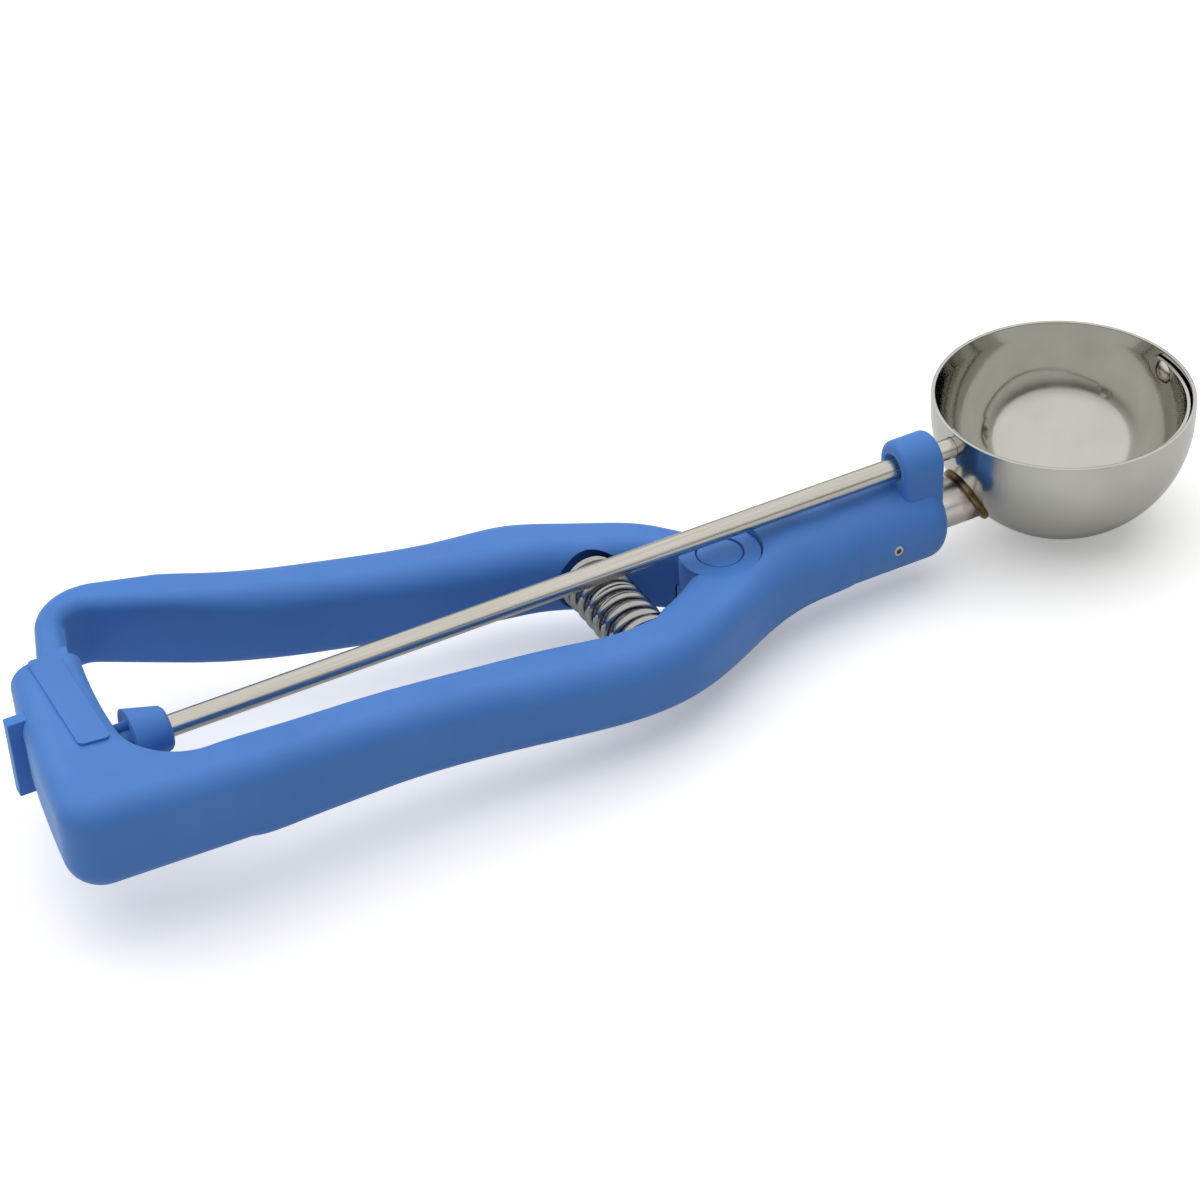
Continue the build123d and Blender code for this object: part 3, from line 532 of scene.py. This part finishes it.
def wire_along_rule(name, sizes, rule, path_points, closed, wire_size, sides, material):
    """A round wire along a path whose X, Y and Z, and swell if any, are worked out by a rule.

    Each step of the rule names its result, the operation and its terms. A term is a size, the
    share of the path passed so far, an earlier result or a plain number.
    """
    tree = bpy.data.node_groups.new(name, "GeometryNodeTree")
    tree.interface.new_socket("Geometry", in_out="INPUT", socket_type="NodeSocketGeometry")
    identifiers = {}
    for label in sizes:
        socket = tree.interface.new_socket(label, in_out="INPUT", socket_type="NodeSocketFloat")
        identifiers[label] = socket.identifier
    tree.interface.new_socket("Geometry", in_out="OUTPUT", socket_type="NodeSocketGeometry")
    given = add_node(tree, "NodeGroupInput")
    values = {label: given.outputs[label] for label in sizes}
    values["share"] = add_node(tree, "GeometryNodeSplineParameter").outputs["Factor"]
    for result, operation, *terms in rule:
        inputs = enumerate([values.get(term, term) for term in terms])
        values[result] = add_node(tree, "ShaderNodeMath", inputs, operation=operation).outputs[0]

    if closed:
        path = add_node(tree, "GeometryNodeCurvePrimitiveCircle", {"Resolution": path_points})
    else:
        line = add_node(tree, "GeometryNodeCurvePrimitiveLine")
        path = add_node(
            tree, "GeometryNodeResampleCurve",
            {"Curve": line.outputs["Curve"], "Count": path_points},
        )
    place = add_node(tree, "ShaderNodeCombineXYZ", {axis: values[axis] for axis in "XYZ"})
    laid = add_node(
        tree, "GeometryNodeSetPosition",
        {"Geometry": path.outputs["Curve"], "Position": place.outputs[0]},
    )
    swelled = add_node(
        tree, "GeometryNodeSetCurveRadius",
        {"Curve": laid.outputs["Geometry"], "Radius": values.get("swell", 1.0)},
    )
    ring = add_node(
        tree, "GeometryNodeCurvePrimitiveCircle",
        {"Resolution": sides, "Radius": values[wire_size]},
    )
    solid = add_node(tree, "GeometryNodeCurveToMesh", {
        "Curve": swelled.outputs["Curve"], "Profile Curve": ring.outputs["Curve"],
        "Fill Caps": not closed,
    })
    smooth = add_node(tree, "GeometryNodeSetShadeSmooth", {"Geometry": solid.outputs["Mesh"]})
    real = add_node(
        tree, "GeometryNodeRealizeInstances", {"Geometry": smooth.outputs["Geometry"]}
    )
    coated = add_node(
        tree, "GeometryNodeSetMaterial",
        {"Geometry": real.outputs["Geometry"], "Material": material},
    )
    add_node(tree, "NodeGroupOutput", {0: coated.outputs["Geometry"]})

    piece = object_from(name, bpy.data.meshes.new(name))
    modifier = piece.modifiers.new(name, "NODES")
    modifier.node_group = tree
    for label, value in sizes.items():
        modifier[identifiers[label]] = value
    return settled(piece)


def make_spring():
    """Coil spring: round wire on a waisted helix whose end turns are wound closer."""
    sizes = {
        "Turns": SPRING_TURNS,
        "Span": SPRING_SPAN,
        "Wire Radius": SPRING_WIRE / 2,
        "End Radius": SPRING_END_RADIUS,
        "Waist Radius": SPRING_WAIST_RADIUS,
        "End Pitch": SPRING_END_PITCH,
    }
    rule = (
        ("turn", "MULTIPLY", "share", "Turns"),
        ("angle", "MULTIPLY", "turn", 2 * pi),
        ("cosine", "COSINE", "angle"),
        ("sine", "SINE", "angle"),
        # the radius grows from the waist toward both ends
        ("side", "MULTIPLY_ADD", "share", 2.0, -1.0),
        ("from waist", "ABSOLUTE", "side"),
        ("flare", "POWER", "from waist", SPRING_FLARE_POWER),
        ("widest", "SUBTRACT", "End Radius", "Waist Radius"),
        ("radius", "MULTIPLY_ADD", "widest", "flare", "Waist Radius"),
        # the first and the last turn have the end pitch, and the turns between share the rest
        ("inner turns", "SUBTRACT", "Turns", 2.0),
        ("past first", "SUBTRACT", "turn", 1.0),
        ("begun", "MAXIMUM", "past first", 0.0),
        ("inner turn", "MINIMUM", "begun", "inner turns"),
        ("end turn", "SUBTRACT", "turn", "inner turn"),
        ("inner span", "MULTIPLY_ADD", "End Pitch", -2.0, "Span"),
        ("inner pitch", "DIVIDE", "inner span", "inner turns"),
        ("end rise", "MULTIPLY", "end turn", "End Pitch"),
        ("rise", "MULTIPLY_ADD", "inner turn", "inner pitch", "end rise"),
        ("from middle", "MULTIPLY_ADD", "Span", -0.5, "rise"),
        ("X", "MULTIPLY_ADD", "radius", "cosine", SPRING_CENTRE.x),
        ("Y", "ADD", "from middle", SPRING_CENTRE.y),
        ("Z", "MULTIPLY_ADD", "radius", "sine", SPRING_CENTRE.z),
    )
    piece = wire_along_rule(
        "coil_spring", sizes, rule, path_points=POINTS_PER_TURN * int(SPRING_TURNS), closed=False,
        wire_size="Wire Radius", sides=WIRE_SIDES, material=spring_steel,
    )
    finish_piece(piece, None, ["return_spring"], spring_steel)
    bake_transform(piece)


def make_weld():
    """Weld bead: a rippled ring where the stem meets the bowl."""
    sizes = {
        "Stem Radius": STEM_RADIUS + BEAD_STANDOFF,
        "Bowl Radius": BOWL_RADIUS + BEAD_STANDOFF,
        "Bead Radius": BEAD_RADIUS,
        "Stem Drop": AXIS_Z - STEM_Z,
        "Ripples": BEAD_RIPPLES,
        "Ripple Share": BEAD_RIPPLE_SHARE,
    }
    rule = (
        ("angle", "MULTIPLY", "share", 2 * pi),
        ("cosine", "COSINE", "angle"),
        ("sine", "SINE", "angle"),
        # round the stem
        ("Y", "MULTIPLY", "Stem Radius", "cosine"),
        ("up", "MULTIPLY", "Stem Radius", "sine"),
        ("height", "SUBTRACT", "up", "Stem Drop"),
        ("Z", "ADD", "height", AXIS_Z),
        # and on the bowl
        ("Y squared", "MULTIPLY", "Y", "Y"),
        ("off axis squared", "MULTIPLY_ADD", "height", "height", "Y squared"),
        ("bowl squared", "MULTIPLY", "Bowl Radius", "Bowl Radius"),
        ("reach squared", "SUBTRACT", "bowl squared", "off axis squared"),
        ("reach", "SQRT", "reach squared"),
        ("X", "MULTIPLY", "reach", -1.0),
        # with ripples in its thickness
        ("ripple angle", "MULTIPLY", "angle", "Ripples"),
        ("ripple", "SINE", "ripple angle"),
        ("swell", "MULTIPLY_ADD", "ripple", "Ripple Share", 1.0),
    )
    piece = wire_along_rule(
        "weld_bead", sizes, rule, path_points=POINTS_PER_RIPPLE * BEAD_RIPPLES, closed=True,
        wire_size="Bead Radius", sides=BEAD_SIDES, material=weld_metal,
    )
    finish_piece(piece, "grip", ["stem_weld"], weld_metal)


make_bowl()
make_rod()
make_hinge_pin()
make_stem_pin()
make_spring()
make_weld()

# Pieces that keep their CAD shape, the key's with rounded edges
for copied, node, name, body, slot, material in (
    (copy_of, "grip_body", "grip_moulding", "grip", "blue_plastic", plastic),
    (copy_of, "squeeze_lever", "lever_moulding", "lever", "blue_plastic", plastic),
    (copy_of, "drive_pinion", "pinion_sleeve", "scraper", "blue_plastic", plastic),
    (rounded_copy_of, "stop_key", "stop_key_plate", "grip", "blue_plastic", plastic),
    (copy_of, "scraper_blade", "blade_band", "scraper", "satin_steel", polished),
    (copy_of, "pivot_rivet", "rivet_heads", "scraper", "satin_steel", rod_steel),
    (copy_of, "stem_tube", "stem_sleeve", "grip", "satin_steel", stem_steel),
    (copy_of, "hinge_clip", "hinge_clip_ring", "grip", "satin_steel", sheet_steel),
):
    finish_piece(copied(node, name), body, [node], material)


# Floor, light and camera


def make_floor():
    """Plain white sheet just under the part, seen greyer in the steel than by the camera."""
    material, tree, shader = new_material("white_paper_floor")
    ray = add_node(tree, "ShaderNodeLightPath").outputs
    paper = add_node(
        tree, "ShaderNodeMix",
        {
            "Factor": ray["Is Camera Ray"],
            MIX_FIRST: linear("#d8d8d8"), MIX_SECOND: linear("#fafafa"),
        },
        data_type="RGBA",
    )
    in_steel = add_node(
        tree, "ShaderNodeMath", {0: ray["Is Glossy Ray"], 1: FLOOR_GLOW_IN_STEEL},
        operation="MULTIPLY",
    )
    glow = add_node(
        tree, "ShaderNodeMath",
        {0: ray["Is Camera Ray"], 1: FLOOR_GLOW_IN_VIEW, 2: in_steel.outputs[0]},
        operation="MULTIPLY_ADD",
    )
    tree.links.new(paper.outputs[MIX_RESULT], shader.inputs["Base Color"])
    tree.links.new(glow.outputs[0], shader.inputs["Emission Strength"])
    shader.inputs["Emission Color"].default_value = WHITE
    shader.inputs["Roughness"].default_value = FLOOR_ROUGHNESS
    level = cad_box[0][2] - FLOOR_GAP
    corners = [
        (x * FLOOR_HALF, y * FLOOR_HALF, level) for x, y in ((-1, -1), (1, -1), (1, 1), (-1, 1))
    ]
    mesh = bpy.data.meshes.new("floor_sheet")
    mesh.from_pydata(corners, [], [(0, 1, 2, 3)])
    mesh.materials.append(material)
    object_from("floor_sheet", mesh)


def light_room():
    """White surroundings for the camera; steel sees a white ceiling over darker walls."""
    world = bpy.data.worlds.new("studio")
    bpy.context.scene.world = world
    world.use_nodes = True
    tree = world.node_tree
    ray = add_node(tree, "ShaderNodeLightPath").outputs
    way = add_node(tree, "ShaderNodeTexCoord").outputs["Generated"]
    height = add_node(tree, "ShaderNodeSeparateXYZ", {0: way}).outputs["Z"]
    room = add_node(
        tree, "ShaderNodeMapRange",
        {
            "Value": height, "From Min": WALL_TOP, "From Max": CEILING_EDGE,
            "To Min": WALL_LIGHT - FILL_LIGHT, "To Max": FULL_LIGHT - FILL_LIGHT,
        },
        interpolation_type="SMOOTHSTEP",
    )
    in_view = add_node(
        tree, "ShaderNodeMath",
        {0: ray["Is Camera Ray"], 1: FULL_LIGHT - FILL_LIGHT, 2: FILL_LIGHT},
        operation="MULTIPLY_ADD",
    )
    strength = add_node(
        tree, "ShaderNodeMath",
        {0: ray["Is Glossy Ray"], 1: room.outputs["Result"], 2: in_view.outputs[0]},
        operation="MULTIPLY_ADD",
    )
    back = tree.nodes["Background"]
    back.inputs["Color"].default_value = WHITE
    tree.links.new(strength.outputs[0], back.inputs["Strength"])


def add_ceiling_light():
    """A wide soft light from above, like a white ceiling, left out of reflections."""
    light = bpy.data.lights.new("ceiling_light", "SUN")
    light.energy = CEILING_STRENGTH
    light.angle = CEILING_SPREAD
    lamp = object_from("ceiling_light", light)
    lamp.rotation_euler = CEILING_TOWARD.to_track_quat("-Z", "Y").to_euler()
    lamp.visible_glossy = False


def place_camera():
    """Camera at the photograph's viewing angle, with its slight roll."""
    toward = Vector((
        -sin(CAMERA_AZIMUTH) * cos(CAMERA_ELEVATION),
        -cos(CAMERA_AZIMUTH) * cos(CAMERA_ELEVATION),
        sin(CAMERA_ELEVATION),
    ))
    right = Vector((cos(CAMERA_AZIMUTH), -sin(CAMERA_AZIMUTH), 0))
    up = toward.cross(right)
    rolled_right = right * cos(CAMERA_ROLL) + up * sin(CAMERA_ROLL)
    rolled_up = up * cos(CAMERA_ROLL) - right * sin(CAMERA_ROLL)
    view = bpy.data.cameras.new("photo_camera")
    view.sensor_width = CAMERA_SENSOR
    view.lens = CAMERA_LENS
    view.clip_end = CAMERA_REACH
    camera = object_from("photo_camera", view)
    turn = Matrix((rolled_right, rolled_up, toward)).transposed().to_4x4()
    camera.matrix_world = Matrix.Translation(CAMERA_PLACE) @ turn
    bpy.context.scene.camera = camera


make_floor()
light_room()
add_ceiling_light()
place_camera()
bpy.context.scene.view_settings.view_transform = "Standard"
